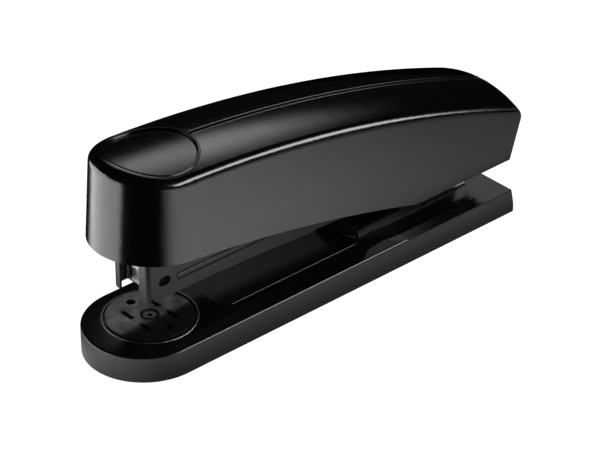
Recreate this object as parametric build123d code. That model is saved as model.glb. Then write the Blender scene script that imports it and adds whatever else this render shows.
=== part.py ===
from build123d import *
import math
import os

# Desk stapler. Millimetres. X runs from the nose to the rear, Y across, Z up from the desk.
# X is measured from the middle of the base; the parts are centred on X when they are written.

# ---- base ----
BASE_HALF_WIDTH = 18.5
BASE_NOSE_X = -56.15            # centre of the round nose
BASE_REAR_X = 74.65             # foot of the slanted rear face
BASE_REAR_TOP_X = 72.9
BASE_REAR_CORNER_R = 1.0
SHELL_BOTTOM = 0.15             # rim clears the desk; the pads carry the weight
BASE_CROWN_R = 95.0
BASE_CROWN_Z = 10.35
BASE_PLATFORM_Z = 8.28          # flat rear part
BASE_RAMP = ((10.0, 11.0), (30.3, BASE_PLATFORM_Z))
BASE_WALL = 2.0
BASE_CAVITY_Z = 6.0             # ceiling of the hollow underside
BASE_EDGE_R = 0.7
TRAY_X = (-36.8, 17.4)
TRAY_HALF_WIDTH = 11.0
TRAY_FLOOR_Z = (9.65, 7.8)      # front end, rear end
TRAY_CORNER_R = 2.5
PEDESTAL_X = (17.4, 61.7)
PEDESTAL_HALF_WIDTH = 9.9
PEDESTAL_TOP_Z = 14.1
PEDESTAL_SHOULDER_Z = 11.75
PEDESTAL_EDGE_R = 3.2
SEAT_X = 33.5                   # the bracket's flat seat starts here
SEAT_Z = 12.0
COVER_Z = (0.9, 2.1)
POSTS = ((-28.0, 12.0), (18.0, 12.0), (66.0, 12.0))
POST_R = 3.0

# ---- anvil ----
ANVIL_X = -54.4
ANVIL_RECESS_R = 13.7
ANVIL_RECESS_Z = 7.7
ANVIL_R = 13.0
ANVIL_Z = (7.9, 10.1)
ANVIL_PIN_R = 1.5
ANVIL_HEAD_R = 2.5
ANVIL_HEAD_H = 1.0
ANVIL_SOCKET_R = 0.8
ANVIL_HOLE = (8.6, 1.4)         # distance from the middle, radius
BUTTON_R = 8.0
BUTTON_Z = (1.2, 3.6)
BUTTON_STEM_R = 3.5
CLINCH_X = (-59.4, -49.6)
CLINCH_Y = 4.1
CLINCH_SWEEP_R = 6.0
CLINCH_DEPTH = 0.7
CLINCH_WIDTH = 1.6

# ---- hinge ----
PIVOT = (54.5, 21.5)
PIN_R = 2.0
PIN_FIT = 0.05                  # running clearance on the radius
PIN_HALF_LENGTH = 12.4
EAR_R = 6.0
BRACKET_Y = (8.1, 9.3)
BRACKET_X = (34.5, 61.0)
BRACKET_T = 1.2
FRAME_EAR_Y = (9.7, 10.9)
SCREW_R = 1.5
SCREWS = ((42.0, 0.0), (57.0, 4.2), (57.0, -4.2))
LEAF_T = 0.6
LEAF_TIP_Z = 18.0

# ---- magazine ----
MAG_X = (-61.0, 60.5)
MAG_HALF_WIDTH = 7.74
MAG_WALL = 0.9
MAG_FLOOR_Z = (19.9, 20.8)
MAG_TOP_Z = 33.9
MAG_LOWER_EDGE = ((-38.0, 19.9), (-3.0, 18.7), (36.0, 17.4), (60.5, 17.4))  # skirts deepen to the rear
MAG_FLOOR_X = (-56.6, 46.5)
MAG_BEND_R = 1.6
TAB_REAR_X = -58.8
TAB_T = 0.7
TAB_Z = 19.3
TAB_GAP_Y = (-3.8, 4.8)
TAB_OUTER_R = 2.0
TAB_INNER_R = (1.4, 0.3)        # near tab, far tab
BEAD_X = (-49.75, 24.0)
BEAD_Z = (23.95, 25.75)
BEAD_OUT = 0.35
SIDE_HOLE_X = (-57.0, -52.8)
SIDE_HOLE_Z = (23.8, 26.8)
LINER_X = (-57.3, -50.0)
LINER_Y = (6.5, 6.8)
LINER_Z = (21.2, 30.0)
RAIL_X = (-57.1, 34.0)
RAIL_HALF_WIDTH = 5.65
RAIL_FRONT_HALF_WIDTH = 4.3
RAIL_T = 0.6
RAIL_Z = (20.85, 26.05)
STRIP_X = (-57.4, -8.8)
STRIP_HALF_WIDTH = 6.45
STRIP_T = 0.55
STRIP_Z = (20.95, 26.65)
ROD_R = 1.5
ROD_Z = 29.2
ROD_X = (-49.6, 44.0)
SUPPORT_T = 1.2
SUPPORT_Z = (27.5, 32.6)
PUSHER_X = (-8.6, 4.0)
PUSHER_Z = (21.1, 32.4)
HOLDER_X = (35.0, 45.5)
HOLDER_TOP_Z = 33.2
RAIL_PIN = (31.6, 23.4)
RAIL_PIN_R = 1.2

# ---- handle ----
HANDLE_PRESS = 4.3              # travel from rest down to the closed position, degrees
HANDLE_TOP_AXIS = (-73.68, -374.22)     # centre of the long curve of the top, X and Z
HANDLE_TOP_R = 439.1
HANDLE_CROWN_R = 46.0
HANDLE_NOSE = (-54.0, 38.0, 0.036)      # nose centre X at this Z, and its lean per mm of height
HANDLE_HALF = (16.8, 59.4, 0.033)       # half-width at this Z, and its growth per mm downwards
HANDLE_REAR = (72.0, 19.1, 0.364)       # rear X at this Z, and its lean per mm of height
HANDLE_SECTIONS_Z = (12.0, 72.0)
HANDLE_LOWER_ARC = ((-80.0, 38.0), (-13.1, 30.1), (32.6, 19.3))
HANDLE_LOWER_Z = 19.1
HANDLE_WALL = 1.7
HANDLE_EDGE_R = 3.0
GROOVE_WIDTH = 1.6
GROOVE_FLOOR = 1.3
GROOVE_DEPTH = 0.6
PAD_X = -52.5
PAD_R = 13.4
PAD_TILT = 2.8                  # follows the slope of the top, degrees
PAD_FLOOR_Z = 60.4
PAD_DEPTH = 0.6                 # below the crown of the top
PAD_SEAT_T = 1.6
# Frame and blade are drawn in the closed position and then turned back up about the pin.
FRAME_X = (-59.7, 44.0)
FRAME_WEB_Z = (36.5, 37.7)
FRAME_SIDE_Z = 31.0
FRAME_TAB_Z = 34.0
BLADE_X = (-60.2, -59.7)
BLADE_Z = (20.0, 37.7)
BLADE_HALF_WIDTH = 5.9
BOSS_X = (-28.0, 22.0)
BOSS_R = 3.4
RIVET_Y = (-3.6, 3.6)
RIVET_Z = 35.4
RIVET_HEAD_R = (1.3, 1.0)       # front, rear
RIVET_R = 0.9


def block(x, y, z):
    """Box between pairs of limits."""
    size = (x[1] - x[0], y[1] - y[0], z[1] - z[0])
    return Pos((x[0] + x[1]) / 2, (y[0] + y[1]) / 2, (z[0] + z[1]) / 2) * Box(*size)


def disc(x, y, z, radius):
    """Upright cylinder between two heights."""
    return Pos(x, y, (z[0] + z[1]) / 2) * Cylinder(radius, z[1] - z[0])


def cross_rod(x, z, y, radius):
    """Cylinder along Y between two limits."""
    return Pos(x, (y[0] + y[1]) / 2, z) * Rot(90, 0, 0) * Cylinder(radius, y[1] - y[0])


def long_rod(x, y, z, radius):
    """Cylinder along X between two limits."""
    return Pos((x[0] + x[1]) / 2, y, z) * Rot(0, 90, 0) * Cylinder(radius, x[1] - x[0])


def side_prism(points, y):
    """Polygon drawn in X and Z, given thickness between two Y limits."""
    face = Plane.XZ * make_face(Polyline(*points, close=True))
    return Pos(0, y[1], 0) * extrude(face, y[1] - y[0], dir=(0, -1, 0))


def round_nosed(nose_x, half_width, rear_x, corner_r):
    """Plan outline: round nose, straight sides and a square rear, its corners eased if asked."""
    corners = [(nose_x, half_width), (rear_x, half_width), (rear_x, -half_width), (nose_x, -half_width)]
    outline = Polyline(*corners)
    outline += ThreePointArc(corners[3], (nose_x - half_width, 0), corners[0])
    face = make_face(outline)
    if corner_r > 0:
        face = fillet(face.vertices().sort_by(Axis.X)[-2:], corner_r)
    return face


def coil(radius, wire_r, height, turns):
    """Coil spring standing on Z, first and last wire centre at the two ends."""
    path = Helix(pitch=height / turns, height=height, radius=radius)
    section = Plane(origin=path @ 0, z_dir=path % 0) * Circle(wire_r)
    return sweep(section, path=path, is_frenet=True)


def both_sides(shape):
    """The shape and its mirror image across the middle plane."""
    return shape + mirror(shape, about=Plane.XZ)


def turned(shape, degrees):
    """Turned nose up about the hinge pin."""
    hinge = Pos(PIVOT[0], 0, PIVOT[1])
    return hinge * Rot(0, degrees, 0) * hinge.inverse() * shape


# ---------------------------------------------------------------- base
def base_prism(inset, z):
    plan = round_nosed(BASE_NOSE_X, BASE_HALF_WIDTH - inset, BASE_REAR_X - inset, BASE_REAR_CORNER_R)
    return Pos(0, 0, z[0]) * extrude(plan, z[1] - z[0])


def make_base_shell():
    body = base_prism(0, (SHELL_BOTTOM, 16.0))
    centre_z = BASE_CROWN_Z - BASE_CROWN_R
    crown = long_rod((BASE_NOSE_X, BASE_REAR_X + 5), 0, centre_z, BASE_CROWN_R)
    crown += Pos(BASE_NOSE_X, 0, centre_z) * Sphere(BASE_CROWN_R)
    body = body & crown
    rim = body.edges().filter_by(lambda e: min((e @ 0).Z, (e @ 1).Z) > 7.0)
    body = fillet(rim, BASE_EDGE_R)
    profile = [(-80, SHELL_BOTTOM), (BASE_REAR_X, SHELL_BOTTOM), (BASE_REAR_TOP_X, BASE_PLATFORM_Z)]
    profile += [BASE_RAMP[1], BASE_RAMP[0], (-80, BASE_RAMP[0][1])]
    body = body & side_prism(profile, (-25, 25))
    low, high = TRAY_FLOOR_Z
    wedge = side_prism([(TRAY_X[0], low), (TRAY_X[1], high), (TRAY_X[1], 20), (TRAY_X[0], 20)], (-15, 15))
    tray = block(TRAY_X, (-TRAY_HALF_WIDTH, TRAY_HALF_WIDTH), (5, 20))
    tray = fillet(tray.edges().filter_by(Axis.Z), TRAY_CORNER_R)
    body -= tray & wedge

    half = PEDESTAL_HALF_WIDTH
    high = PEDESTAL_SHOULDER_Z
    low = BASE_CAVITY_Z
    corners = [(half, high), (half, low), (-half, low), (-half, high)]
    outline = Polyline(*corners)
    outline += ThreePointArc(corners[3], (0, PEDESTAL_TOP_Z), corners[0])
    section = Plane.YZ * make_face(outline)
    pedestal = Pos(PEDESTAL_X[0], 0, 0) * extrude(section, PEDESTAL_X[1] - PEDESTAL_X[0], dir=(1, 0, 0))
    shoulders = pedestal.edges().filter_by(Axis.X).sort_by(Axis.Z)[-2:]
    pedestal = fillet(shoulders, PEDESTAL_EDGE_R)
    pedestal -= block((SEAT_X, 70), (-12, 12), (SEAT_Z, 20))
    body += pedestal

    body -= disc(ANVIL_X, 0, (ANVIL_RECESS_Z, 14), ANVIL_RECESS_R)
    body -= base_prism(BASE_WALL, (SHELL_BOTTOM, BASE_CAVITY_Z))
    for x, y in POSTS:
        body += both_sides(disc(x, y, (COVER_Z[1], BASE_CAVITY_Z), POST_R))
    body -= disc(ANVIL_X, 0, (0, 10), BUTTON_STEM_R + 0.1)
    for x, y in SCREWS:
        body -= disc(x, y, (8.0, SEAT_Z), SCREW_R)
    return body


def make_base_cover():
    plate = base_prism(BASE_WALL + 0.05, COVER_Z)
    return plate - disc(ANVIL_X, 0, (0, 5), BUTTON_R + 1.0)


def make_rubber_feet():
    front = base_prism(4.0, (0, COVER_Z[0]))
    front = front & block((-80, -36.0), (-20, 20), (-1, 3))
    front -= disc(ANVIL_X, 0, (-1, 5), BUTTON_R + 1.8)
    rear = block((40.0, 69.5), (-13.5, 13.5), (0, COVER_Z[0]))
    rear = fillet(rear.edges().filter_by(Axis.Z), 2.5)
    return front + rear


# ---------------------------------------------------------------- anvil
def make_anvil_button():
    button = disc(ANVIL_X, 0, BUTTON_Z, BUTTON_R)
    button = chamfer(button.edges().sort_by(Axis.Z)[0], 0.5)
    button += disc(ANVIL_X, 0, (BUTTON_Z[1], ANVIL_Z[0] - 0.05), BUTTON_STEM_R)
    return button - disc(ANVIL_X, 0, (3.0, 12), ANVIL_PIN_R)


def make_anvil_pin():
    pin = disc(ANVIL_X, 0, (3.0, ANVIL_Z[1] - ANVIL_HEAD_H), ANVIL_PIN_R)
    head = Pos(ANVIL_X, 0, ANVIL_Z[1] - ANVIL_HEAD_H / 2 - 0.05)
    pin += head * Cone(ANVIL_PIN_R, ANVIL_HEAD_R - 0.3, ANVIL_HEAD_H - 0.1)
    return pin - disc(ANVIL_X, 0, (ANVIL_Z[1] - ANVIL_HEAD_H, 12), ANVIL_SOCKET_R)


def make_anvil_plate():
    plate = disc(ANVIL_X, 0, ANVIL_Z, ANVIL_R)
    plate = fillet(plate.edges().sort_by(Axis.Z)[-1], 0.4)
    plate -= disc(ANVIL_X, 0, (5, 12), ANVIL_PIN_R + PIN_FIT)
    sink = Pos(ANVIL_X, 0, ANVIL_Z[1] - ANVIL_HEAD_H / 2)
    plate -= sink * Cone(ANVIL_PIN_R + PIN_FIT, ANVIL_HEAD_R, ANVIL_HEAD_H)
    for y in (-ANVIL_HOLE[0], ANVIL_HOLE[0]):
        plate -= disc(ANVIL_X, y, (ANVIL_Z[1] - 1.0, 12), ANVIL_HOLE[1])
    centre_z = ANVIL_Z[1] - CLINCH_DEPTH + CLINCH_SWEEP_R
    for x in CLINCH_X:
        for y in (-CLINCH_Y, CLINCH_Y):
            plate -= long_rod((x - CLINCH_WIDTH / 2, x + CLINCH_WIDTH / 2), y, centre_z, CLINCH_SWEEP_R)
    return plate


def make_anvil_spring():
    return Pos(ANVIL_X, 0, BUTTON_Z[1] + 0.4) * coil(5.2, 0.35, 1.6, 2)


# ---------------------------------------------------------------- hinge
def make_hinge_bracket():
    low = SEAT_Z
    side = side_prism(
        [(BRACKET_X[0], low), (BRACKET_X[1], low), (BRACKET_X[1], 17), (60.3, 22), (48.7, 22), (40, 15.5),
         (BRACKET_X[0], 14.2)],
        BRACKET_Y)
    side += cross_rod(PIVOT[0], PIVOT[1], BRACKET_Y, EAR_R)
    bracket = both_sides(side)
    bracket += block(BRACKET_X, (-BRACKET_Y[1], BRACKET_Y[1]), (low, low + BRACKET_T))
    bracket -= cross_rod(PIVOT[0], PIVOT[1], (-15, 15), PIN_R)
    for x, y in SCREWS:
        bracket -= disc(x, y, (low - 1, low + 3), SCREW_R)
    return bracket


def make_bracket_screws():
    screws = Part()
    for x, y in SCREWS:
        seat = SEAT_Z + BRACKET_T + (LEAF_T if y == 0 else 0)
        head = disc(x, y, (seat, seat + 1.2), 2.7)
        head = fillet(head.edges().sort_by(Axis.Z)[-1], 0.5)
        head -= block((x - 1.8, x + 1.8), (y - 0.35, y + 0.35), (seat + 0.6, seat + 2))
        screws += head + disc(x, y, (8.0, seat), SCREW_R)
    return screws


def make_hinge_pin():
    pin = cross_rod(PIVOT[0], PIVOT[1], (-PIN_HALF_LENGTH, PIN_HALF_LENGTH), PIN_R)
    return chamfer(pin.edges().filter_by(GeomType.CIRCLE), 0.3)


def make_pin_clips():
    clip = cross_rod(PIVOT[0], PIVOT[1], (11.2, 12.0), 3.8)
    clip -= cross_rod(PIVOT[0], PIVOT[1], (10, 13), PIN_R)
    clip -= block((PIVOT[0] - 0.9, PIVOT[0] + 0.9), (10, 13), (PIVOT[1] - 5, PIVOT[1]))
    return both_sides(clip)


def make_lift_spring():
    top = SEAT_Z + BRACKET_T
    rise = top + 1.3
    lower = [(46.0, top), (36.0, top), (32.5, rise), (19.0, LEAF_TIP_Z)]
    upper = [(18.9, LEAF_TIP_Z + LEAF_T), (32.3, rise + LEAF_T), (35.8, top + LEAF_T), (46.0, top + LEAF_T)]
    leaf = side_prism(lower + upper, (-4.5, 4.5))
    return leaf - disc(SCREWS[0][0], 0, (10, 20), SCREW_R)


# ---------------------------------------------------------------- magazine
def make_magazine_channel():
    inner = MAG_HALF_WIDTH - MAG_WALL
    low = MAG_FLOOR_Z[0]
    outline = [(MAG_X[0], TAB_Z), (TAB_REAR_X, TAB_Z), (TAB_REAR_X, low), *MAG_LOWER_EDGE]
    outline += [(MAG_X[1], MAG_TOP_Z), (MAG_X[0], MAG_TOP_Z)]
    body = side_prism(outline, (-MAG_HALF_WIDTH, MAG_HALF_WIDTH))
    front_corners = body.edges().filter_by(Axis.Z).sort_by(Axis.X)[:2]
    body = fillet(front_corners, MAG_BEND_R)
    front = block((MAG_X[0] - 1, TAB_REAR_X), (-MAG_HALF_WIDTH, MAG_HALF_WIDTH), (TAB_Z, MAG_TOP_Z))
    front = fillet(front.edges().filter_by(Axis.X).sort_by(Axis.Z)[:2], TAB_OUTER_R)
    body = body & (front + block((TAB_REAR_X, MAG_X[1]), (-10, 10), (10, MAG_TOP_Z)))

    hollow = block((MAG_X[0] + TAB_T, 70), (-inner, inner), (MAG_FLOOR_Z[1], 40))
    hollow = fillet(hollow.edges().filter_by(Axis.Z).sort_by(Axis.X)[:2], MAG_BEND_R - TAB_T)
    body -= hollow
    body -= block((MAG_X[0] + TAB_T, MAG_FLOOR_X[0]), (-inner, inner), (10, MAG_FLOOR_Z[1] + 1))
    body -= block((MAG_FLOOR_X[0], 70), (-inner, inner), (10, low))
    body -= block((MAG_FLOOR_X[1], 70), (-inner, inner), (10, MAG_FLOOR_Z[1] + 1))
    body -= block((-70, MAG_X[0] + TAB_T), TAB_GAP_Y, (10, 40))
    near, far = TAB_GAP_Y
    short = body.edges().filter_by(Axis.X).filter_by(lambda e: e.length < 1 and abs((e @ 0).Z - TAB_Z) < 0.01)
    tab_corners = short.filter_by(lambda e: near - 0.1 < (e @ 0).Y < far + 0.1).sort_by(Axis.Y)
    for corner, radius in zip(tab_corners, TAB_INNER_R):
        body = fillet(corner, radius)

    hole_r = (SIDE_HOLE_Z[1] - SIDE_HOLE_Z[0]) / 2
    hole_z = SIDE_HOLE_Z[0] + hole_r
    hole_x = (SIDE_HOLE_X[0] + hole_r, SIDE_HOLE_X[1] - hole_r)
    for x in hole_x:
        body -= cross_rod(x, hole_z, (-10, 10), hole_r)
    body -= block(hole_x, (-10, 10), SIDE_HOLE_Z)

    bead_r = (BEAD_Z[1] - BEAD_Z[0]) / 2
    bead = long_rod(BEAD_X, 0, 0, bead_r) + Pos(BEAD_X[0], 0, 0) * Sphere(bead_r)
    bead = scale(bead, by=(1, BEAD_OUT / bead_r, 1))
    bead = Pos(0, MAG_HALF_WIDTH, BEAD_Z[0] + bead_r) * bead
    bead -= block((BEAD_X[0] - 2, BEAD_X[1]), (0, MAG_HALF_WIDTH - 0.1), (10, 30))
    body += both_sides(bead)
    body -= cross_rod(PIVOT[0], PIVOT[1], (-10, 10), PIN_R + PIN_FIT)
    return body - cross_rod(RAIL_PIN[0], RAIL_PIN[1], (-10, 10), RAIL_PIN_R)


def make_side_liners():
    return both_sides(block(LINER_X, LINER_Y, LINER_Z))


def make_staple_rail():
    rail = block(RAIL_X, (-RAIL_HALF_WIDTH, RAIL_HALF_WIDTH), RAIL_Z)
    rail = fillet(rail.edges().filter_by(Axis.X).sort_by(Axis.Z)[-2:], 0.5)
    inner = RAIL_HALF_WIDTH - RAIL_T
    rail -= block((-70, 70), (-inner, inner), (10, RAIL_Z[1] - RAIL_T))
    rail += block((RAIL_X[0], RAIL_X[0] + RAIL_T), (-RAIL_FRONT_HALF_WIDTH, RAIL_FRONT_HALF_WIDTH), RAIL_Z)
    return rail - cross_rod(RAIL_PIN[0], RAIL_PIN[1], (-10, 10), RAIL_PIN_R)


def make_rail_pins():
    pin = cross_rod(RAIL_PIN[0], RAIL_PIN[1], (RAIL_HALF_WIDTH - RAIL_T, MAG_HALF_WIDTH + 0.3), RAIL_PIN_R)
    return both_sides(pin)


def make_staple_strip():
    strip = block(STRIP_X, (-STRIP_HALF_WIDTH, STRIP_HALF_WIDTH), STRIP_Z)
    strip = fillet(strip.edges().filter_by(Axis.X).sort_by(Axis.Z)[-2:], 0.4)
    inner = STRIP_HALF_WIDTH - STRIP_T
    return strip - block((-70, 70), (-inner, inner), (10, STRIP_Z[1] - STRIP_T))


def make_guide_rod():
    return long_rod(ROD_X, 0, ROD_Z, ROD_R)


def make_rod_support():
    inner = MAG_HALF_WIDTH - MAG_WALL
    plate = block((ROD_X[0], ROD_X[0] + SUPPORT_T), (-inner, inner), SUPPORT_Z)
    return plate - long_rod((-60, 0), 0, ROD_Z, ROD_R)


def make_rod_holder():
    holder = block(HOLDER_X, (-6.7, 6.7), (MAG_FLOOR_Z[1], HOLDER_TOP_Z))
    holder = fillet(holder.edges().filter_by(Axis.Z), 0.8)
    return holder - long_rod((0, ROD_X[1]), 0, ROD_Z, ROD_R)


def make_pusher():
    pusher = block(PUSHER_X, (-STRIP_HALF_WIDTH, STRIP_HALF_WIDTH), PUSHER_Z)
    pusher = fillet(pusher.edges().filter_by(Axis.X).sort_by(Axis.Z)[-2:], 1.5)
    slot = RAIL_HALF_WIDTH + 0.2
    pusher -= block((-20, 20), (-slot, slot), (10, RAIL_Z[1] + 0.25))
    return pusher - long_rod((-20, 20), 0, ROD_Z, ROD_R + PIN_FIT)


def make_pusher_spring():
    length = HOLDER_X[0] - PUSHER_X[1] - 0.8
    return Pos(PUSHER_X[1] + 0.4, 0, ROD_Z) * Rot(0, 90, 0) * coil(2.35, 0.3, length, 14)


# ---------------------------------------------------------------- handle
def handle_plan(z, wall):
    nose_x = HANDLE_NOSE[0] + HANDLE_NOSE[2] * (z - HANDLE_NOSE[1])
    half = HANDLE_HALF[0] + HANDLE_HALF[2] * (HANDLE_HALF[1] - z)
    rear_x = HANDLE_REAR[0] + HANDLE_REAR[2] * (z - HANDLE_REAR[1])
    return Pos(0, 0, z) * round_nosed(nose_x, half - wall, rear_x - wall, 0)


def handle_crown(wall):
    """Everything under the long crowned top, as a slice turned about an axis far below."""
    half = 25.0
    radius = HANDLE_CROWN_R - wall
    apex = HANDLE_TOP_AXIS[1] + HANDLE_TOP_R - wall
    shoulder = apex - radius + (radius ** 2 - half ** 2) ** 0.5
    corners = [(half, shoulder), (half, 0), (-half, 0), (-half, shoulder)]
    outline = Polyline(*corners)
    outline += ThreePointArc(corners[3], (0, apex), corners[0])
    face = Pos(HANDLE_TOP_AXIS[0], 0, 0) * (Plane.YZ * make_face(outline))
    axis = Axis((HANDLE_TOP_AXIS[0], 0, HANDLE_TOP_AXIS[1]), (0, 1, 0))
    face = face.rotate(axis, -4)
    return revolve(face, axis, 32)


def handle_solid(wall):
    walls = loft([handle_plan(z, wall) for z in HANDLE_SECTIONS_Z], ruled=True)
    return walls & handle_crown(wall)


def above_lower_edge():
    start, middle, end = HANDLE_LOWER_ARC
    outline = ThreePointArc(start, middle, end)
    low = HANDLE_LOWER_Z
    outline += Polyline(end, (end[0] + 0.6, low), (100, low), (100, 90), (start[0], 90), start)
    return Pos(0, 30, 0) * extrude(Plane.XZ * make_face(outline), 60, dir=(0, -1, 0))


def make_handle_shell():
    outer = handle_solid(0)
    foot = HANDLE_SECTIONS_Z[0] + 1
    rim = outer.edges().filter_by(lambda e: (e @ 0.5).Z > 32 and min((e @ 0).Z, (e @ 1).Z) > foot)
    outer = fillet(rim, HANDLE_EDGE_R)
    shell = (outer & above_lower_edge()) - handle_solid(HANDLE_WALL)

    inside = handle_solid(HANDLE_WALL - 0.3)
    boss = pad_disc((-PAD_SEAT_T, 4), PAD_R + PAD_SEAT_T)
    for x in BOSS_X:
        boss += disc(x, 0, (20, 64), BOSS_R)
    web = turned(block((-80, 80), (-20, 20), (0, FRAME_WEB_Z[1])), HANDLE_PRESS)
    shell += (boss & inside) - web
    shell -= pad_disc((0, 9), PAD_R)
    for x in BOSS_X:
        shell -= frame_screw(x)

    floor_r = HANDLE_TOP_R - GROOVE_DEPTH
    axis = Axis((HANDLE_TOP_AXIS[0], 0, HANDLE_TOP_AXIS[1]), (0, 1, 0))
    top = GROOVE_WIDTH / 2
    foot = GROOVE_FLOOR / 2
    outline = [(-foot, 0), (foot, 0), (top, GROOVE_DEPTH), (top, 5), (-top, 5), (-top, GROOVE_DEPTH)]
    slot = make_face(Polyline(*outline, close=True))
    slot = Pos(HANDLE_TOP_AXIS[0], 0, HANDLE_TOP_AXIS[1] + floor_r) * (Plane.YZ * slot)
    slot = slot.rotate(axis, 4.4)
    return shell - revolve(slot, axis, 25)


def pad_disc(z, radius):
    """Disc square to the top at the thumb pad, between two heights over the pad's seat."""
    return Pos(PAD_X, 0, PAD_FLOOR_Z) * Rot(0, PAD_TILT, 0) * disc(0, 0, z, radius)


def make_thumb_pad():
    return pad_disc((0, 6), PAD_R - 0.05) & handle_crown(PAD_DEPTH)


def frame_screw(x):
    """Screw up through the frame's web into the cover's boss."""
    up = FRAME_WEB_Z[0]
    press = math.radians(HANDLE_PRESS)
    closed_x = PIVOT[0] + (x - PIVOT[0] - (up + 4 - PIVOT[1]) * math.sin(press)) / math.cos(press)
    screw = disc(closed_x, 0, (up - 1.3, up), 2.6) + disc(closed_x, 0, (up, up + 8), 1.3)
    return turned(screw, HANDLE_PRESS)


def make_frame_screws():
    screws = Part()
    for x in BOSS_X:
        screws += frame_screw(x)
    return screws


def make_handle_frame():
    web_top = FRAME_WEB_Z[1]
    outline = [(-58.0, web_top), (FRAME_X[1], web_top), (59.0, 27.0), (60.4, 20.0), (50.5, 17.2)]
    outline += [(40.0, 24.0), (28.0, FRAME_SIDE_Z), (-56.0, FRAME_SIDE_Z)]
    side = side_prism(outline, FRAME_EAR_Y)
    side += cross_rod(PIVOT[0], PIVOT[1], FRAME_EAR_Y, EAR_R)
    frame = both_sides(side)
    frame += block((-58.0, FRAME_X[1]), (-FRAME_EAR_Y[1], FRAME_EAR_Y[1]), FRAME_WEB_Z)
    frame += block((FRAME_X[0], -58.0), (-BLADE_HALF_WIDTH, BLADE_HALF_WIDTH), FRAME_WEB_Z)
    tab_x = (FRAME_X[0], FRAME_X[0] + 1.2)
    frame += block(tab_x, (-BLADE_HALF_WIDTH, BLADE_HALF_WIDTH), (FRAME_TAB_Z, web_top))
    frame -= cross_rod(PIVOT[0], PIVOT[1], (-15, 15), PIN_R + PIN_FIT)
    for y in RIVET_Y:
        frame -= long_rod((-62, -55), y, RIVET_Z, RIVET_R)
    frame = turned(frame, HANDLE_PRESS)
    for x in BOSS_X:
        frame -= frame_screw(x)
    return frame


def make_driver_blade():
    blade = block(BLADE_X, (-BLADE_HALF_WIDTH, BLADE_HALF_WIDTH), BLADE_Z)
    for y in RIVET_Y:
        blade -= long_rod((-62, -55), y, RIVET_Z, RIVET_R)
    return turned(blade, HANDLE_PRESS)


def make_driver_rivets():
    rivets = Part()
    for y in RIVET_Y:
        rivets += long_rod((BLADE_X[0] - 0.5, BLADE_X[0]), y, RIVET_Z, RIVET_HEAD_R[0])
        rivets += long_rod((BLADE_X[0], FRAME_X[0] + 1.2), y, RIVET_Z, RIVET_R)
        rivets += long_rod((FRAME_X[0] + 1.2, FRAME_X[0] + 1.7), y, RIVET_Z, RIVET_HEAD_R[1])
    return turned(rivets, HANDLE_PRESS)


def make_handle_spring():
    return Pos(40.0, 0, HOLDER_TOP_Z + 0.5) * coil(3.4, 0.45, 2.8, 2)


PARTS = {
    "base_shell": make_base_shell(),
    "base_cover": make_base_cover(),
    "rubber_feet": make_rubber_feet(),
    "anvil_button": make_anvil_button(),
    "anvil_spring": make_anvil_spring(),
    "anvil_pin": make_anvil_pin(),
    "anvil_plate": make_anvil_plate(),
    "hinge_bracket": make_hinge_bracket(),
    "bracket_screws": make_bracket_screws(),
    "hinge_pin": make_hinge_pin(),
    "pin_clips": make_pin_clips(),
    "lift_spring": make_lift_spring(),
    "handle_shell": make_handle_shell(),
    "thumb_pad": make_thumb_pad(),
    "handle_frame": make_handle_frame(),
    "frame_screws": make_frame_screws(),
    "driver_blade": make_driver_blade(),
    "driver_rivets": make_driver_rivets(),
    "magazine_channel": make_magazine_channel(),
    "side_liners": make_side_liners(),
    "staple_rail": make_staple_rail(),
    "rail_pins": make_rail_pins(),
    "staple_strip": make_staple_strip(),
    "guide_rod": make_guide_rod(),
    "rod_support": make_rod_support(),
    "rod_holder": make_rod_holder(),
    "pusher": make_pusher(),
    "pusher_spring": make_pusher_spring(),
    "handle_spring": make_handle_spring(),
}

front_x = min(shape.bounding_box().min.X for shape in PARTS.values())
rear_x = max(shape.bounding_box().max.X for shape in PARTS.values())
middle_x = (front_x + rear_x) / 2
print("length", rear_x - front_x, "middle", middle_x)

os.makedirs("parts", exist_ok=True)
for name, shape in PARTS.items():
    export_step(Pos(-middle_x, 0, 0) * shape, f"parts/{name}.step")
    box = shape.bounding_box()
    print(f"{name:18s} solids {len(shape.solids())}", box.min, box.max)
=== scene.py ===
import math

import bmesh
import bpy
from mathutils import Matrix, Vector


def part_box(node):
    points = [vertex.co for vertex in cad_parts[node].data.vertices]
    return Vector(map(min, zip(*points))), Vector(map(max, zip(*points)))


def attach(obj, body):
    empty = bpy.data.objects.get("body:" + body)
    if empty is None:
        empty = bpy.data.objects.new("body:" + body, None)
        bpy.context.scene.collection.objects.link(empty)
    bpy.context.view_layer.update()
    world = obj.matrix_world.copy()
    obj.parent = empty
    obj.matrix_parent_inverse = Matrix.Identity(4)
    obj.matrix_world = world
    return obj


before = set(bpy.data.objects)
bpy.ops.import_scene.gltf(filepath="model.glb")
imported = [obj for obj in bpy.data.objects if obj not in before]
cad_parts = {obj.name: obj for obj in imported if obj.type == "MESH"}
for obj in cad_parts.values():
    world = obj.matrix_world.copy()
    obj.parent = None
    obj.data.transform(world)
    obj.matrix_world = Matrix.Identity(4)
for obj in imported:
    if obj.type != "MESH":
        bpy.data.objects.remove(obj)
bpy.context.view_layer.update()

MM = 0.001
MIX_FACTOR, MIX_A, MIX_B = 0, 6, 7      # sockets of a mix node that mixes colours
MIX_COLOUR = 2


# ---------------------------------------------------------------- materials
def node_tree(name):
    mat = bpy.data.materials.new(name)
    mat.use_nodes = True
    tree = mat.node_tree
    shader = tree.nodes["Principled BSDF"]
    return mat, tree, shader


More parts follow.
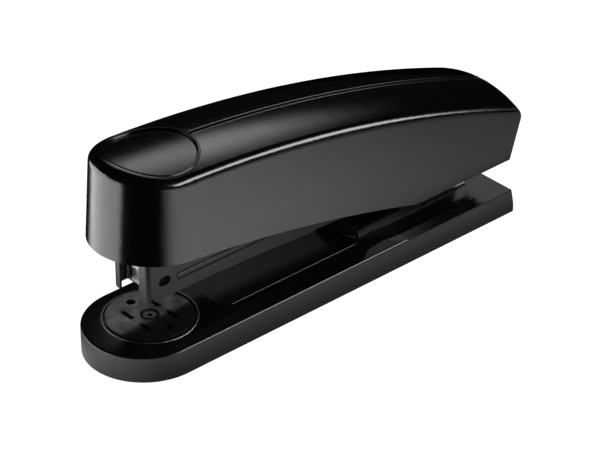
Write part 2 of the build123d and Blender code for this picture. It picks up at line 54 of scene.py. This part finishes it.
def noise(tree, scale, detail=3.0, rough=0.5, coords=None):
    tex = tree.nodes.new("ShaderNodeTexNoise")
    tex.inputs["Scale"].default_value = scale
    tex.inputs["Detail"].default_value = detail
    tex.inputs["Roughness"].default_value = rough
    if coords is None:
        coords = tree.nodes.new("ShaderNodeTexCoord").outputs["Object"]
    tree.links.new(coords, tex.inputs["Vector"])
    return tex.outputs["Fac"]


def ramp(tree, fac, stops):
    """Colour between two stops, each a place and a colour."""
    node = tree.nodes.new("ShaderNodeValToRGB")
    for element, (place, colour) in zip(node.color_ramp.elements, stops):
        element.position = place
        element.color = (*colour, 1.0)
    tree.links.new(fac, node.inputs["Fac"])
    return node.outputs["Color"]


def remap(tree, fac, low, high, from_low=0.3, from_high=0.7):
    node = tree.nodes.new("ShaderNodeMapRange")
    node.inputs["From Min"].default_value = from_low
    node.inputs["From Max"].default_value = from_high
    node.inputs["To Min"].default_value = low
    node.inputs["To Max"].default_value = high
    tree.links.new(fac, node.inputs["Value"])
    return node.outputs["Result"]


def math_node(tree, operation, *values):
    node = tree.nodes.new("ShaderNodeMath")
    node.operation = operation
    for i, value in enumerate(values):
        if isinstance(value, (int, float)):
            node.inputs[i].default_value = value
        else:
            tree.links.new(value, node.inputs[i])
    return node.outputs["Value"]


def step(tree, value, low, high, start=0.0, end=1.0):
    """Smooth change from start at low to end at high."""
    node = tree.nodes.new("ShaderNodeMapRange")
    node.interpolation_type = "SMOOTHSTEP"
    node.inputs["From Min"].default_value = low
    node.inputs["From Max"].default_value = high
    node.inputs["To Min"].default_value = start
    node.inputs["To Max"].default_value = end
    tree.links.new(value, node.inputs["Value"])
    return node.outputs["Result"]


def bump(tree, height, strength, distance, shader):
    node = tree.nodes.new("ShaderNodeBump")
    node.inputs["Strength"].default_value = strength
    node.inputs["Distance"].default_value = distance
    tree.links.new(height, node.inputs["Height"])
    tree.links.new(node.outputs["Normal"], shader.inputs["Normal"])


def plastic(name, dark, light, rough, grain, bump_size, specular=0.5):
    """Black paint or moulding: faint colour drift, uneven gloss and a fine grain."""
    mat, tree, shader = node_tree(name)
    drift = ramp(tree, noise(tree, 55, 4), [(0.3, dark), (0.7, light)])
    tree.links.new(drift, shader.inputs["Base Color"])
    tree.links.new(remap(tree, noise(tree, 160, 3), *rough), shader.inputs["Roughness"])
    shader.inputs["Specular IOR Level"].default_value = specular
    bump(tree, noise(tree, grain, 2), 0.2, bump_size, shader)
    return mat


def metal(name, dark, light, rough, brush):
    """Steel with a brushed or rolled finish; brush is the grain's stretch along each axis."""
    mat, tree, shader = node_tree(name)
    coords = tree.nodes.new("ShaderNodeTexCoord").outputs["Object"]
    mapping = tree.nodes.new("ShaderNodeMapping")
    mapping.inputs["Scale"].default_value = brush
    tree.links.new(coords, mapping.inputs["Vector"])
    lines = noise(tree, 900, 4, 0.6, mapping.outputs["Vector"])
    tree.links.new(ramp(tree, lines, [(0.25, dark), (0.75, light)]), shader.inputs["Base Color"])
    tree.links.new(remap(tree, lines, *rough), shader.inputs["Roughness"])
    shader.inputs["Metallic"].default_value = 1.0
    bump(tree, lines, 0.15, 0.00002, shader)
    return mat


def anvil_steel(name):
    """Dark blotchy cast plate, black below its face, with a painted shade on its near side that makes it
    near-black and takes most of its gloss.
    """
    mat, tree, shader = node_tree(name)
    coords = tree.nodes.new("ShaderNodeTexCoord").outputs["Object"]
    patches = noise(tree, 260, 5, 0.65, coords)
    blotch = ramp(tree, patches, [(0.35, (0.010, 0.010, 0.010)), (0.7, (0.085, 0.085, 0.083))])
    split = tree.nodes.new("ShaderNodeSeparateXYZ")
    tree.links.new(coords, split.inputs["Vector"])
    face = remap(tree, split.outputs["Z"], 0.04, 1.0, ANVIL_TOP - 0.00035, ANVIL_TOP - 0.00002)
    mix = tree.nodes.new("ShaderNodeMix")
    mix.data_type = "RGBA"
    mix.inputs[MIX_A].default_value = (0.002, 0.002, 0.002, 1)
    tree.links.new(face, mix.inputs[MIX_FACTOR])
    tree.links.new(blotch, mix.inputs[MIX_B])
    # painted shade: past a ragged line the plate's near side turns near-black
    ragged = math_node(tree, "MULTIPLY", noise(tree, 260, 4, 0.6, coords), 0.004)
    shade_edge = math_node(tree, "SUBTRACT", ragged, split.outputs["Y"])
    painted_shade_mix = tree.nodes.new("ShaderNodeMix")
    painted_shade_mix.data_type = "RGBA"
    painted_shade_mix.inputs[MIX_B].default_value = (0.004, 0.004, 0.004, 1)
    painted_shade_side = step(tree, shade_edge, *PAINTED_SHADE_FROM)
    tree.links.new(painted_shade_side, painted_shade_mix.inputs[MIX_FACTOR])
    tree.links.new(mix.outputs[MIX_COLOUR], painted_shade_mix.inputs[MIX_A])
    tree.links.new(painted_shade_mix.outputs[MIX_COLOUR], shader.inputs["Base Color"])
    tree.links.new(remap(tree, noise(tree, 700, 3), 0.28, 0.5), shader.inputs["Roughness"])
    # the painted shade also takes most of the gloss from the near side
    gloss = math_node(tree, "MULTIPLY", face, step(tree, painted_shade_side, 0.0, 1.0, 0.4, 0.04))
    tree.links.new(gloss, shader.inputs["Specular IOR Level"])
    bump(tree, noise(tree, 1400, 3), 0.35, 0.00004, shader)
    return mat


ANVIL_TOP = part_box("anvil_plate")[1].z
PAINTED_SHADE_FROM = (0.0028, 0.0062)   # distance from the middle line where the painted shade on the plate's near side starts and is full

HANDLE_BLACK = plastic("handle_black", (0.0005, 0.0005, 0.0005), (0.0009, 0.0009, 0.0009),
                       (0.14, 0.19), 1800, 0.000006)
PAD_BLACK = plastic("thumb_pad_black", (0.0006, 0.0006, 0.0006), (0.0012, 0.0012, 0.0012),
                    (0.16, 0.21), 2200, 0.000006, 0.38)
BASE_BLACK = plastic("base_black", (0.0010, 0.0010, 0.0010), (0.0018, 0.0018, 0.0018),
                     (0.17, 0.23), 2400, 0.000006)
MAG_BLACK = plastic("magazine_black", (0.004, 0.004, 0.0042), (0.006, 0.006, 0.0062),
                    (0.26, 0.34), 1500, 0.00001, 0.28)
MOULDED = plastic("moulded_black", (0.006, 0.006, 0.006), (0.010, 0.010, 0.010),
                  (0.4, 0.5), 1800, 0.00002)
COVER = plastic("base_cover_plastic", (0.012, 0.012, 0.012), (0.02, 0.02, 0.02),
                (0.45, 0.55), 900, 0.00004)
RUBBER = plastic("feet_rubber", (0.010, 0.010, 0.010), (0.018, 0.018, 0.018),
                 (0.7, 0.85), 1200, 0.00005)
ANVIL = anvil_steel("anvil_dark")
BRACKET_BLACK = plastic("bracket_black", (0.003, 0.003, 0.003), (0.006, 0.006, 0.006),
                        (0.45, 0.6), 1200, 0.00002, 0.2)
# black rough finish for the gap round the anvil's pin, and painted shade on the side liners and along the
# magazine bead's edges
SEAM_AND_SHADE = plastic("seam_and_shade_black", (0.0012, 0.0012, 0.0012), (0.002, 0.002, 0.002),
               (0.7, 0.85), 1500, 0.00001, 0.05)
STEEL = metal("steel", (0.34, 0.34, 0.35), (0.5, 0.5, 0.51), (0.25, 0.4), (0.05, 1, 1))
DARK_STEEL = metal("bracket_steel", (0.16, 0.16, 0.17), (0.26, 0.26, 0.27), (0.3, 0.45), (0.05, 1, 1))
BRIGHT = metal("bright_wire", (0.34, 0.34, 0.35), (0.5, 0.5, 0.51), (0.15, 0.28), (1, 0.05, 1))

NODE_MATERIAL = {
    "base_shell": BASE_BLACK, "base_cover": COVER, "rubber_feet": RUBBER,
    "anvil_button": STEEL, "anvil_spring": STEEL, "anvil_pin": ANVIL, "anvil_plate": ANVIL,
    "hinge_bracket": BRACKET_BLACK, "bracket_screws": STEEL, "hinge_pin": STEEL, "pin_clips": STEEL,
    # the side liners are black as painted shade inside the magazine, seen through its front and side
    # openings
    "lift_spring": STEEL, "magazine_channel": MAG_BLACK, "side_liners": SEAM_AND_SHADE,
    "staple_rail": STEEL, "rail_pins": STEEL, "staple_strip": BRIGHT, "guide_rod": STEEL,
    "rod_support": DARK_STEEL, "rod_holder": MOULDED, "pusher": MOULDED, "pusher_spring": STEEL,
    "handle_shell": HANDLE_BLACK, "thumb_pad": PAD_BLACK, "handle_frame": BRACKET_BLACK,
    "frame_screws": STEEL, "driver_blade": DARK_STEEL, "driver_rivets": STEEL, "handle_spring": STEEL,
}
for node, mat in NODE_MATERIAL.items():
    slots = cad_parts[node].data.materials
    for i in range(len(slots)):
        slots[i] = mat


# ---------------------------------------------------------------- rims and seams
TUBE_SIDES = 10


def tube(name, points, radius, body, mat, closed=False):
    """Rounded rim bead: a small round section swept along a line of points (metres)."""
    count = len(points)
    mesh = bmesh.new()
    rings = []
    for i, point in enumerate(points):
        if closed:
            along = points[(i + 1) % count] - points[i - 1]
        else:
            along = points[min(i + 1, count - 1)] - points[max(i - 1, 0)]
        along.normalize()
        side = along.cross(Vector((0, 0, 1))).normalized()
        up = side.cross(along)
        turn = [2 * math.pi * k / TUBE_SIDES for k in range(TUBE_SIDES)]
        section = [point + radius * (math.cos(t) * side + math.sin(t) * up) for t in turn]
        rings.append([mesh.verts.new(corner) for corner in section])
    pairs = list(zip(rings, rings[1:] + rings[:1])) if closed else list(zip(rings, rings[1:]))
    for first, second in pairs:
        for k in range(TUBE_SIDES):
            after = (k + 1) % TUBE_SIDES
            mesh.faces.new((first[k], first[after], second[after], second[k]))
    if not closed:
        mesh.faces.new(rings[0][::-1])
        mesh.faces.new(rings[-1])
    bmesh.ops.recalc_face_normals(mesh, faces=mesh.faces)
    for face in mesh.faces:
        face.smooth = True
    data = bpy.data.meshes.new(name)
    mesh.to_mesh(data)
    mesh.free()
    data.materials.append(mat)
    piece = bpy.data.objects.new(name, data)
    bpy.context.collection.objects.link(piece)
    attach(piece, body)


# Lengths from here to the stage are in millimetres, with X measured from the middle of the base.
MIDDLE = (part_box("base_shell")[0].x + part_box("base_shell")[1].x) / 2     # metres
BASE_NOSE_X = -56.15            # centre of the base's round nose
BASE_CROWN = (95.0, 10.35)      # crown radius, height along the middle line
TOP_AXIS = (-73.68, -374.22)    # X and Z of the axis that the handle's top bends about
TOP_R = 439.1
TOP_CROWN_R = 46.0

ANVIL_X = -54.4
RECESS_RIM_R = 13.8
RECESS_BEAD = (0.06, 0.26)      # how far the bead's middle is sunk, and the bead's radius
DISH_X = -52.5
DISH_RIM_R = 13.4
DISH_BEAD = (0.42, 0.6)         # the same for the dish
GROOVE_HALF = 0.85
GROOVE_X = (-39, 76)
GROOVE_SUNK = 0.03
GROOVE_BEADS = (("near", -1, 0.17), ("far", 1, 0.24))    # side and bead radius
PIN_SEAM = (2.45, 10.02)        # radius and height of the gap round the anvil's centre pin
PIN_SEAM_BEAD = 0.34
# radius of the black lines along the magazine bead's edges, painted shade in its concave corners
BEAD_SHADE_R = 0.18
BEAD_SIDE_Y = 7.72
BEAD_X = (-50, 24)
BEAD_EDGES = {"upper": 25.86, "lower": 23.84}
TRAY_X = (-36.8, 17.2)
TRAY_HALF = 11.0
TRAY_CORNER = 2.5
TRAY_BEAD = (0.12, 0.22)        # sunk by this, and the bead's radius
TRAY_REAR_TOP = (9.0, 8.55)     # Y where the rear rim ends, and its height
TRAY_REAR_RISE = 0.2            # share of the rear rim in which it reaches that height
RAMP_START = (10.0, 11.0)       # X and Z where the base starts to fall
RAMP_END = (30.3, 8.28)


def base_top(x, y):
    """Height of the base's crowned top, millimetres from its middle."""
    ahead = min(x - BASE_NOSE_X, 0.0)
    return BASE_CROWN[1] - BASE_CROWN[0] + math.sqrt(BASE_CROWN[0] ** 2 - y ** 2 - ahead ** 2)


def handle_top(x, y):
    """Height of the handle's crowned top, millimetres from the base's middle."""
    rho = TOP_R - TOP_CROWN_R + math.sqrt(TOP_CROWN_R ** 2 - y ** 2)
    return TOP_AXIS[1] + math.sqrt(rho ** 2 - (x - TOP_AXIS[0]) ** 2)


def placed(x, y, z):
    return Vector((x * MM + MIDDLE, y * MM, z * MM))


def ring(centre_x, radius, height, drop, count=160):
    """Circle of points that follows a surface, sunk into it by drop."""
    points = []
    for i in range(count):
        turn = 2 * math.pi * i / count
        x = centre_x + radius * math.cos(turn)
        y = radius * math.sin(turn)
        points.append(placed(x, y, height(x, y) - drop))
    return points


def ramp_top(x):
    """Height of the base where it falls to the flat rear part."""
    part = (x - RAMP_START[0]) / (RAMP_END[0] - RAMP_START[0])
    return RAMP_START[1] + part * (RAMP_END[1] - RAMP_START[1])


def tray_rim():
    """Near edge of the tray, round its near rear corner and across its rear."""
    front, rear = TRAY_X
    near = -TRAY_HALF + TRAY_CORNER
    straight = rear - front - 2 * TRAY_CORNER
    line = [(front + TRAY_CORNER + straight * i / 40, -TRAY_HALF) for i in range(41)]
    for i in range(1, 9):
        turn = -math.pi / 2 + math.pi / 2 * i / 8
        x = rear - TRAY_CORNER + TRAY_CORNER * math.cos(turn)
        line.append((x, near + TRAY_CORNER * math.sin(turn)))
    points = [placed(x, y, min(base_top(x, y), ramp_top(x)) - TRAY_BEAD[0]) for x, y in line]
    y_end, z_end = TRAY_REAR_TOP
    y_start, z_start = line[-1][1], points[-1].z / MM
    for i in range(1, 31):
        part = i / 30
        height = z_start + (z_end - z_start) * min(part / TRAY_REAR_RISE, 1.0)
        points.append(placed(rear, y_start + (y_end - y_start) * part, height))
    return points


def pin_seam_height(x, y):
    return PIN_SEAM[1]


recess_rim = ring(ANVIL_X, RECESS_RIM_R, base_top, RECESS_BEAD[0])
# the recess rim bead is grey steel rather than the base's black, so that it shows as a thin light line
# all round: a painted highlight on the recess edge
tube("anvil_recess_rim", recess_rim, RECESS_BEAD[1] * MM, "base", DARK_STEEL, True)
dish_rim = ring(DISH_X, DISH_RIM_R, handle_top, DISH_BEAD[0])
tube("thumb_dish_rim", dish_rim, DISH_BEAD[1] * MM, "handle", HANDLE_BLACK, True)
for name, side, radius in GROOVE_BEADS:
    edge_x = range(GROOVE_X[0], GROOVE_X[1] + 1)
    edge = [placed(x, side * GROOVE_HALF, handle_top(x, GROOVE_HALF) - GROOVE_SUNK) for x in edge_x]
    tube(f"groove_edge_{name}", edge, radius * MM, "handle", HANDLE_BLACK)
pin_seam = ring(ANVIL_X, PIN_SEAM[0], pin_seam_height, 0.0, 48)
tube("anvil_pin_seam", pin_seam, PIN_SEAM_BEAD * MM, "anvil", SEAM_AND_SHADE, True)
tube("tray_rim", tray_rim(), TRAY_BEAD[1] * MM, "base", BASE_BLACK)
# black lines along the bead's upper and lower edges: painted shade in its concave corners
for name, side in (("near", -1), ("far", 1)):
    for level, height in BEAD_EDGES.items():
        shade_points = [placed(x, side * BEAD_SIDE_Y, height) for x in range(BEAD_X[0], BEAD_X[1] + 1)]
        tube(f"bead_{level}_shade_line_{name}", shade_points, BEAD_SHADE_R * MM, "magazine", SEAM_AND_SHADE)


# ---------------------------------------------------------------- stage
FLOOR_LEFT = 2.0                # brightness of the desk to the left of the stapler
FLOOR_RIGHT = 0.45              # and to its right
FLOOR_BESIDE = (0.25, 0.72)     # right beside the base, and a little further out; the lower brightness beside the base is a painted shadow on the desk that the glossy sides mirror
OPEN_X = (-0.03, 0.13)          # where the left brightness starts to change and ends, metres
BESIDE_Y = (0.0185, 0.031)      # the same beside the base, metres from the middle line
OPEN_Y = (0.026, 0.075)         # and out to the open desk
STRIP_IN = (0.0285, 0.0315)     # the strip that the magazine mirrors starts and ends here
STRIP_OUT = (0.040, 0.047)
STRIP_X = (-0.025, 0.035)       # it darkens along these X
LEFT_X = (-0.10, -0.06)         # the desk ahead of the stapler is evenly lit
BEHIND_Y = (0.0, 0.03)          # the desk behind it is dark
LEFT_GLOW = 1.9                 # share of the light beyond the dark flag, on its left
FLAG = (-0.851, -0.525)         # unit direction from the nose to the dark flag
FLAG_ANGLES = (-0.50, 0.72)     # where the flag ends on each side, radians
FLAG_SPAN = (0.035, 0.060)      # and how far from the nose it starts, metres
FLOOR_Z = -0.0004
STAGE_CENTRE = Vector((0, 0, 0.03))
BACKDROP_RADIUS = 6
BACKDROP_SHEETS = 24


def emitter(name, strength=1.0, gradient=None):
    mat = bpy.data.materials.new(name)
    mat.use_nodes = True
    tree = mat.node_tree
    tree.nodes.clear()
    out = tree.nodes.new("ShaderNodeOutputMaterial")
    emit = tree.nodes.new("ShaderNodeEmission")
    emit.inputs["Color"].default_value = (1, 1, 1, 1)
    emit.inputs["Strength"].default_value = strength
    tree.links.new(emit.outputs["Emission"], out.inputs["Surface"])
    if gradient is not None:
        tree.links.new(gradient(tree), emit.inputs["Strength"])
    return mat


def position(tree):
    """X, Y and Z in metres."""
    coords = tree.nodes.new("ShaderNodeTexCoord").outputs["Object"]
    split = tree.nodes.new("ShaderNodeSeparateXYZ")
    tree.links.new(coords, split.inputs["Vector"])
    return split.outputs["X"], split.outputs["Y"], split.outputs["Z"]


def sheet(name, points, mat, seen=False):
    """Flat stage piece, either seen by the camera or only in reflections."""
    mesh = bpy.data.meshes.new(name)
    mesh.from_pydata(points, [], [tuple(range(len(points)))])
    mesh.materials.append(mat)
    obj = bpy.data.objects.new(name, mesh)
    bpy.context.collection.objects.link(obj)
    obj.visible_camera = seen
    obj.visible_glossy = not seen
    obj.visible_shadow = False
    return obj


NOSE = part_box("anvil_plate")
NOSE_X = (NOSE[0][0] + NOSE[1][0]) / 2


def add(tree, first, second):
    return math_node(tree, "ADD", first, second)


def times(tree, first, second):
    return math_node(tree, "MULTIPLY", first, second)


def flip(tree, value):
    return math_node(tree, "SUBTRACT", 1.0, value)


def mixed(tree, first, second, part):
    """First where part is 0, second where part is 1."""
    return add(tree, times(tree, first, flip(tree, part)), times(tree, second, part))


def side_glow(tree, x, out):
    """Desk along the near side, out from the middle line, with the strip that the magazine mirrors."""
    # painted shadow: the desk is dimmer right beside the base
    beside = step(tree, out, *BESIDE_Y, *FLOOR_BESIDE)
    far = step(tree, x, *OPEN_X, FLOOR_LEFT, FLOOR_RIGHT)
    lit = mixed(tree, beside, far, step(tree, out, *OPEN_Y))
    strip = times(tree, step(tree, out, *STRIP_IN), step(tree, out, *STRIP_OUT, 1.0, 0.0))
    shade = times(tree, strip, step(tree, x, *STRIP_X, 0.0, 0.85))
    return times(tree, lit, flip(tree, shade))


def nose_flag(tree, x, y):
    """Dark wedge of desk in front of the nose."""
    from_nose = math_node(tree, "SUBTRACT", x, NOSE_X)
    along = add(tree, times(tree, from_nose, FLAG[0]), times(tree, y, FLAG[1]))
    across = add(tree, times(tree, from_nose, -FLAG[1]), times(tree, y, FLAG[0]))
    angle = math_node(tree, "ARCTAN2", across, along)
    span = math_node(tree, "SQRT", add(tree, times(tree, along, along), times(tree, across, across)))
    left = step(tree, angle, FLAG_ANGLES[0] - 0.10, FLAG_ANGLES[0] + 0.05, LEFT_GLOW, 0.0)
    right = step(tree, angle, FLAG_ANGLES[1] - 0.10, FLAG_ANGLES[1] + 0.45)
    wedge = mixed(tree, right, left, step(tree, angle, 0.0, 0.05, 1.0, 0.0))
    return mixed(tree, wedge, 1.0, step(tree, span, *FLAG_SPAN, 1.0, 0.0))


def floor_glow(tree):
    """The lit desk as the glossy sides see it."""
    x, y, _ = position(tree)
    left_side = step(tree, x, *LEFT_X, 1.0, 0.0)
    glow = mixed(tree, side_glow(tree, x, times(tree, y, -1.0)), FLOOR_LEFT, left_side)
    near = math_node(tree, "MAXIMUM", step(tree, y, *BEHIND_Y, 1.0, 0.0), left_side)
    return times(tree, times(tree, glow, nose_flag(tree, x, y)), near)


BACKDROP = emitter("floor_pale", 1.15)
wide = BACKDROP_RADIUS
floor_corners = [(x, y, FLOOR_Z) for x, y in ((-wide, -wide), (wide, -wide), (wide, wide), (-wide, wide))]
sheet("floor", floor_corners, BACKDROP, True)
for i in range(BACKDROP_SHEETS):
    turns = [2 * math.pi * (i + k) / BACKDROP_SHEETS for k in range(2)]
    edge = [(BACKDROP_RADIUS * math.cos(t), BACKDROP_RADIUS * math.sin(t)) for t in turns]
    low = [(*foot, -0.1) for foot in edge]
    high = [(*foot, 5.0) for foot in reversed(edge)]
    sheet(f"backdrop_{i}", low + high, BACKDROP, True)
sheet("floor_reflection", [(-0.5, -0.5, 0), (0.6, -0.5, 0), (0.6, 0.5, 0), (-0.5, 0.5, 0)],
      emitter("floor_reflection", 1.0, floor_glow))


def card(name, direction, distance, size, strength, soft=0.5):
    """Soft-edged light panel facing the object, seen only in reflections."""
    width, height = size

    def fade(tree):
        x, y, _ = position(tree)
        total = strength
        for value, half in ((x, width / 2), (y, height / 2)):
            edge = math_node(tree, "ABSOLUTE", value)
            fall = step(tree, edge, half * (1 - soft), half, 1.0, 0.0)
            total = times(tree, fall, total)
        return total

    w, h = width / 2, height / 2
    corners = [(-w, -h, 0), (w, -h, 0), (w, h, 0), (-w, h, 0)]
    obj = sheet(name, corners, emitter(name, 1.0, fade))
    outward = Vector(direction).normalized()
    obj.location = STAGE_CENTRE + outward * distance
    obj.rotation_mode = "QUATERNION"
    obj.rotation_quaternion = (-outward).to_track_quat("-Z", "Y")


card("rear_panel", (0.561, 0.505, 0.656), 1.3, (1.0, 0.68), 2.7, 0.85)
card("right_panel", (0.57, -0.69, 0.44), 1.3, (1.3, 0.46), 11.0, 0.3)
card("left_panel", (-0.62, 0.66, -0.05), 1.3, (1.2, 0.40), 6.0, 0.5)


def tray_glow(tree):
    """Dim light behind the magazine as the tray sees it."""
    x, _, _ = position(tree)
    return step(tree, x, -0.03, 0.02, 0.17, 0.10)


def flag_glow(tree):
    """Dim light under the handle, which fades to none at the rear."""
    x, _, _ = position(tree)
    return step(tree, x, 0.024, 0.046, 0.32, 0.02)


def upright(y, outline):
    """Corners of a sheet that stands along X, from its outline in X and Z."""
    return [(x, y, z) for x, z in outline]


TRAY_FLAG = [(-0.052, 0.0125), (0.030, 0.0125), (0.030, 0.030), (-0.052, 0.030)]
SIDE_FLAG = [(0.016, 0.0110), (0.028, 0.0085), (0.060, 0.0085), (0.060, 0.0175), (0.016, 0.0175)]
sheet("tray_flag", upright(0.0095, TRAY_FLAG), emitter("tray_flag", 1.0, tray_glow))
sheet("side_flag", upright(-0.0142, SIDE_FLAG), emitter("side_flag", 1.0, flag_glow))

# ---------------------------------------------------------------- camera and world
VIEW_AZ = math.radians(-41.95)
VIEW_EL = math.radians(31.89)
LEVEL = math.cos(VIEW_EL)
BACK = Vector((math.sin(VIEW_AZ) * LEVEL, -math.cos(VIEW_AZ) * LEVEL, math.sin(VIEW_EL)))
TARGET = Vector((7.90, 7.39, 9.95)) * MM
DISTANCE = 876.3 * MM

cam_data = bpy.data.cameras.new("camera")
cam_data.lens = 176.56
cam_data.sensor_width = 36
cam_data.clip_start = 0.05
cam_data.clip_end = 20
cam = bpy.data.objects.new("camera", cam_data)
bpy.context.collection.objects.link(cam)
cam.location = TARGET + BACK * DISTANCE
cam.rotation_mode = "QUATERNION"
cam.rotation_quaternion = (-BACK).to_track_quat("-Z", "Y")
bpy.context.scene.camera = cam

world = bpy.data.worlds.new("studio")
world.use_nodes = True
world.node_tree.nodes["Background"].inputs["Color"].default_value = (0.008, 0.008, 0.008, 1)
world.node_tree.nodes["Background"].inputs["Strength"].default_value = 1.0
bpy.context.scene.world = world
bpy.context.scene.view_settings.view_transform = "Standard"
